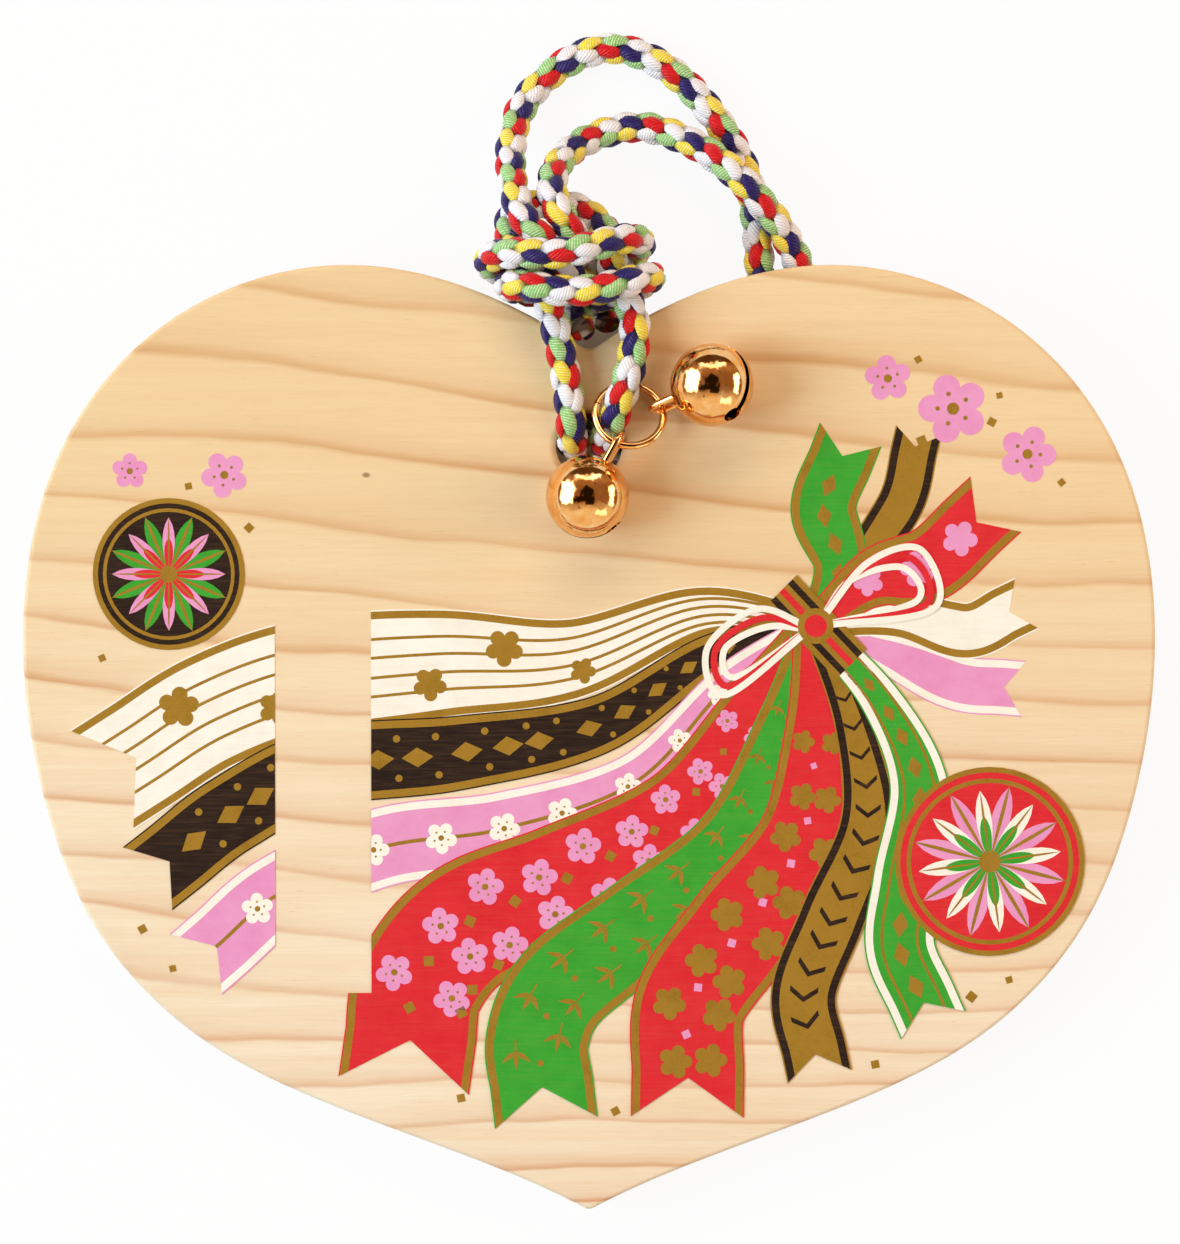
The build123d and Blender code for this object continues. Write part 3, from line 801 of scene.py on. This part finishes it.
ROUTE = (
    TAIL_LEFT + WRAP_LOWER + LOOP_OUTER + LEG_LEFT + BIGHT
    + LEG_RIGHT + LOOP_INNER + WRAP_UPPER + TAIL_RIGHT
)

line_data = bpy.data.curves.new("cord_line", "CURVE")
line_data.dimensions = "3D"
line_data.resolution_u = 24
spline = line_data.splines.new("NURBS")
spline.points.add(len(ROUTE) - 1)
for point, place in zip(spline.points, ROUTE):
    point.co = (*(Vector(place) * MM), 1.0)
spline.order_u = 3
spline.use_endpoint_u = True
line_thing = link(bpy.data.objects.new("cord_line", line_data))
line_mesh = bpy.data.meshes.new_from_object(line_thing.evaluated_get(bpy.context.evaluated_depsgraph_get()))
bpy.data.objects.remove(line_thing)

braid_thread = Sketchpad("braid_thread")
which = braid_thread.node("ShaderNodeAttribute", attribute_name="strand_colour")
along = braid_thread.node("ShaderNodeAttribute", attribute_name="strand_along")
across = braid_thread.node("ShaderNodeAttribute", attribute_name="strand_across")
DYES = ["FCFAFC", "160A50", "E0121C", "8CC868", "FCFAFC", "F9DC18"]
# Each strand's second colour, striped along its twist: the pale threads of the green yarn, painted thread
# highlights on navy and yellow, and painted thread shade on white and red.
PALE_THREAD_SHEEN_SHADE_DYES = ["EDE4F2", "35227E", "BC0A14", "F1FAE0", "EDE4F2", "FFF8BC"]
THREADS_PER_METRE = 2900.0


def dyed(codes):
    """A colour for each strand, one of six in the order of the strands."""
    stops = [(number / len(codes), shade(code)) for number, code in enumerate(codes)]
    return braid_thread.ramp(which.outputs["Fac"], stops, "CONSTANT")


dye_and_painted_light = dyed(DYES)
pale_thread_sheen_shade = dyed(PALE_THREAD_SHEEN_SHADE_DYES)
slant = braid_thread.maths("MULTIPLY", across.outputs["Fac"], 1.5)
twist = braid_thread.maths("MULTIPLY_ADD", along.outputs["Fac"], THREADS_PER_METRE, slant)
wound = braid_thread.maths("SINE", braid_thread.maths("MULTIPLY", twist, math.tau))
threads = braid_thread.maths("MULTIPLY_ADD", wound, 0.5, 0.5)
fuzz = braid_thread.noise(braid_thread.place_mm(), 4.0, 3.0, 0.7)
stripe = braid_thread.maths("MULTIPLY", threads, braid_thread.level(fuzz, [(0.35, 0.35), (0.65, 1.0)]))
# The twist stripes blend each dye toward its second colour: the green yarn's pale threads, and painted thread
# highlights and shade on the other strands.
dye_and_painted_light = braid_thread.blend(braid_thread.level(stripe, [(0.30, 0.0), (0.75, 0.85)]), dye_and_painted_light, pale_thread_sheen_shade)
# Painted shade: each strand's colour darkens where it dives under its neighbours, down to 0.15 at the bottom
# of the dive.
top = braid_thread.node("ShaderNodeAttribute", attribute_name="strand_top")
raised = braid_thread.maths("MULTIPLY_ADD", top.outputs["Fac"], 0.5, 0.5)
painted_crevice_shade = braid_thread.level(raised, [(0.40, 0.15), (0.72, 1.0)])
dye_and_painted_light = braid_thread.blend(1.0, dye_and_painted_light, painted_crevice_shade, "MULTIPLY")
braid_thread.bump(braid_thread.maths("MULTIPLY_ADD", fuzz, 0.4, threads), 0.45, 0.0002)
braid_thread.set(Base_Color=dye_and_painted_light, Roughness=0.45, Specular_IOR_Level=0.4)
braid_thread.set(Sheen_Weight=0.12, Sheen_Roughness=0.4)

LAY_LENGTH = 0.0150
SECOND_WAY_SHIFT = 1 / 24
DYES_EACH_WAY = len(DYES) / 2
braider = Weaver("braid_strands", [
    ("Strands Each Way", "NodeSocketInt", 6),
    ("Rows Each Way", "NodeSocketInt", 3),
    ("Core Radius", "NodeSocketFloat", 0.00096),
    ("Weave Depth", "NodeSocketFloat", 0.00027),
    ("Lay Length", "NodeSocketFloat", LAY_LENGTH),
    ("Strand Half Width", "NodeSocketFloat", 0.00066),
    ("Strand Half Height", "NodeSocketFloat", 0.00041),
    ("Straightening", "NodeSocketFloat", 0.11),
    ("Plumpness", "NodeSocketFloat", 0.20),
    ("Step", "NodeSocketFloat", 0.00037),
])
middle_line = braider.node("GeometryNodeMeshToCurve", {"Mesh": braider.given("Geometry")})
even_line = braider.node("GeometryNodeResampleCurve", {
    "Curve": middle_line.outputs[0], "Length": braider.given("Step"),
}, mode="LENGTH")
calm_line = braider.node("GeometryNodeSetCurveNormal", {"Curve": even_line.outputs[0]})
both_ways = braider.maths("MULTIPLY", braider.given("Strands Each Way"), 2.0)
copies = braider.node("GeometryNodeDuplicateElements", {
    "Geometry": calm_line.outputs[0], "Amount": both_ways,
}, domain="SPLINE")
strand = copies.outputs["Duplicate Index"]
last_first_way = braider.maths("SUBTRACT", braider.given("Strands Each Way"), 0.5)
second_way = braider.maths("GREATER_THAN", strand, last_first_way)
way = braider.maths("MULTIPLY_ADD", second_way, -2.0, 1.0)
place_in_way = braider.maths("MODULO", strand, braider.given("Strands Each Way"))
travelled = braider.node("GeometryNodeSplineParameter").outputs["Length"]
turns = braider.maths("DIVIDE", travelled, braider.given("Lay Length"))
share = braider.maths("DIVIDE", place_in_way, braider.given("Strands Each Way"))
share = braider.maths("MULTIPLY_ADD", second_way, SECOND_WAY_SHIFT, share)
angle = braider.maths("MULTIPLY", braider.maths("MULTIPLY_ADD", turns, way, share), math.tau)
row_angle = braider.maths("MULTIPLY", angle, braider.given("Rows Each Way"))
wave = braider.maths("MULTIPLY", braider.maths("SINE", row_angle), way)
ease = braider.maths("MULTIPLY", braider.maths("COSINE", row_angle), braider.given("Straightening"))
angle = braider.maths("MULTIPLY_ADD", ease, way, angle)
lift = braider.maths("MULTIPLY", wave, braider.given("Weave Depth"))
radius = braider.maths("ADD", lift, braider.given("Core Radius"))
line_normal = braider.node("GeometryNodeInputNormal").outputs["Normal"]
line_tangent = braider.node("GeometryNodeInputTangent").outputs["Tangent"]
line_side = braider.vector("CROSS_PRODUCT", line_tangent, line_normal)
outward = braider.vector(
    "ADD",
    braider.vector("SCALE", line_normal, scale=braider.maths("COSINE", angle)),
    braider.vector("SCALE", line_side, scale=braider.maths("SINE", angle)),
)
kept = braider.node("GeometryNodeCaptureAttribute", {"Geometry": copies.outputs["Geometry"]}, domain="POINT")
plump = braider.maths("MULTIPLY_ADD", wave, braider.given("Plumpness"), 1.0)
for label, kind, value in (("Outward", "VECTOR", outward), ("Plump", "FLOAT", plump), ("Top", "FLOAT", wave)):
    kept.capture_items.new(kind, label)
    braider.tree.links.new(value, kept.inputs[label])
moved = braider.node("GeometryNodeSetPosition", {
    "Geometry": kept.outputs["Geometry"],
    "Offset": braider.vector("SCALE", kept.outputs["Outward"], scale=radius),
})
faced = braider.node("GeometryNodeSetCurveNormal", {
    "Curve": moved.outputs[0], "Normal": kept.outputs["Outward"],
}, mode="FREE")
colour_number = braider.maths("MODULO", place_in_way, DYES_EACH_WAY)
colour_number = braider.maths("MULTIPLY_ADD", second_way, DYES_EACH_WAY, colour_number)
colour_number = braider.maths("DIVIDE", braider.maths("ADD", colour_number, 0.5), 2 * DYES_EACH_WAY)


def labelled(geometry, label, value):
    made = braider.node("GeometryNodeStoreNamedAttribute", {
        "Geometry": geometry, "Name": label, "Value": value,
    }, data_type="FLOAT", domain="POINT")
    return made.outputs[0]


strands = labelled(faced.outputs[0], "strand_colour", colour_number)
strands = labelled(strands, "strand_along", travelled)
strands = labelled(strands, "strand_top", kept.outputs["Top"])
swollen = braider.node("GeometryNodeSetCurveRadius", {"Curve": strands, "Radius": kept.outputs["Plump"]})
section = braider.node("GeometryNodeCurvePrimitiveCircle", {"Resolution": 8, "Radius": 1.0}, mode="RADIUS")
round_place = braider.node("GeometryNodeInputPosition").outputs[0]
round_side = braider.node("ShaderNodeSeparateXYZ", {0: round_place}).outputs["Y"]
oval_size = braider.node("ShaderNodeCombineXYZ", {
    "X": braider.given("Strand Half Height"), "Y": braider.given("Strand Half Width"), "Z": 1.0,
})
oval = braider.node("GeometryNodeTransform", {
    "Geometry": labelled(section.outputs["Curve"], "strand_across", round_side),
    "Scale": oval_size.outputs[0],
})
spun = braider.node("GeometryNodeCurveToMesh", {
    "Curve": swollen.outputs[0], "Profile Curve": oval.outputs[0],
    "Scale": kept.outputs["Plump"], "Fill Caps": True,
})
smooth = braider.node("GeometryNodeSetShadeSmooth", {"Geometry": spun.outputs[0]})
braider.finish(smooth.outputs[0], braid_thread.material)

path_thing = link(bpy.data.objects.new("cord_path", line_mesh))
cord_mesh = braider.grow(path_thing, {"Lay Length": LAY_LENGTH})
bpy.data.objects.remove(path_thing)
cord = link(bpy.data.objects.new("braided_cord", cord_mesh))
CORD_NODES = [
    "cord_wrap_lower", "cord_loop_outer", "cord_leg_left", "cord_bight", "cord_leg_right",
    "cord_loop_inner", "cord_wrap_upper",
]
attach(cord, "plaque")
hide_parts(*CORD_NODES)

# Cord tips
# The two cut ends of the braid, melted and pressed to short hard plugs so that they don't fray.
# They are tucked into the back of the knot, and the dyes of the strands show side by side in them.
tip_plug = Sketchpad("melted_tip")
melt = tip_plug.noise(tip_plug.place_mm(), 0.9, 3.0)
ends = tip_plug.node("ShaderNodeTexVoronoi")
tip_plug.join(tip_plug.place_mm(), ends.inputs["Vector"])
ends.inputs["Scale"].default_value = 0.85
end_pick = tip_plug.noise(ends.outputs["Position"], 3.3, 0.0)
end_dye = tip_plug.ramp(end_pick, [
    (place, shade(code)) for place, code in
    (
        (0.0, "190B58"), (0.38, "F2EEF2"), (0.46, "E4141E"),
        (0.53, "74C862"), (0.59, "F2EEF2"), (0.66, "FADB1C"),
    )
], "CONSTANT")
scorch = tip_plug.level(ends.outputs["Distance"], [(0.30, 0.15), (0.62, 0.85)])
end_dye = tip_plug.blend(scorch, end_dye, shade("3A2014"))
tip_plug.bump(melt, 0.4, 0.0003)
tip_plug.set(Base_Color=end_dye, Roughness=0.22)
for name in ("cord_tip_left", "cord_tip_right"):
    nodes[name].data.materials.clear()
    nodes[name].data.materials.append(tip_plug.material)

# Ring and bells
# A ring of gold-plated wire round the right cord leg carries two small round bells by their wire eyes.
# Each bell is two stamped brass shells, gold-plated and polished, with a slit between two round holes.
# A loose steel ball inside each bell is its clapper.
gilt = Sketchpad("polished_gilt")
wear = gilt.noise(gilt.place_mm(), 0.7, 4.0, 0.6)
gilt.set(
    Base_Color=gilt.ramp(wear, [(0.3, shade("EAA452")), (0.7, shade("F6CB92"))]),
    Metallic=1.0,
    Roughness=gilt.level(wear, [(0.3, 0.05), (0.75, 0.12)]),
)
gilt.bump(gilt.noise(gilt.place_mm(), 0.45, 2.0), 0.05, 0.0005)
steel = Sketchpad("plain_steel")
dulled = steel.noise(steel.place_mm(), 1.2)
steel.set(
    Base_Color=steel.ramp(dulled, [(0.3, shade("7C7C7E")), (0.7, shade("A4A4A6"))]),
    Metallic=1.0,
    Roughness=0.3,
)
for name, thing in nodes.items():
    if name == "ring" or name.startswith(("left_bell", "right_bell")):
        thing.data.materials.clear()
        thing.data.materials.append(steel.material if name.endswith("clapper") else gilt.material)
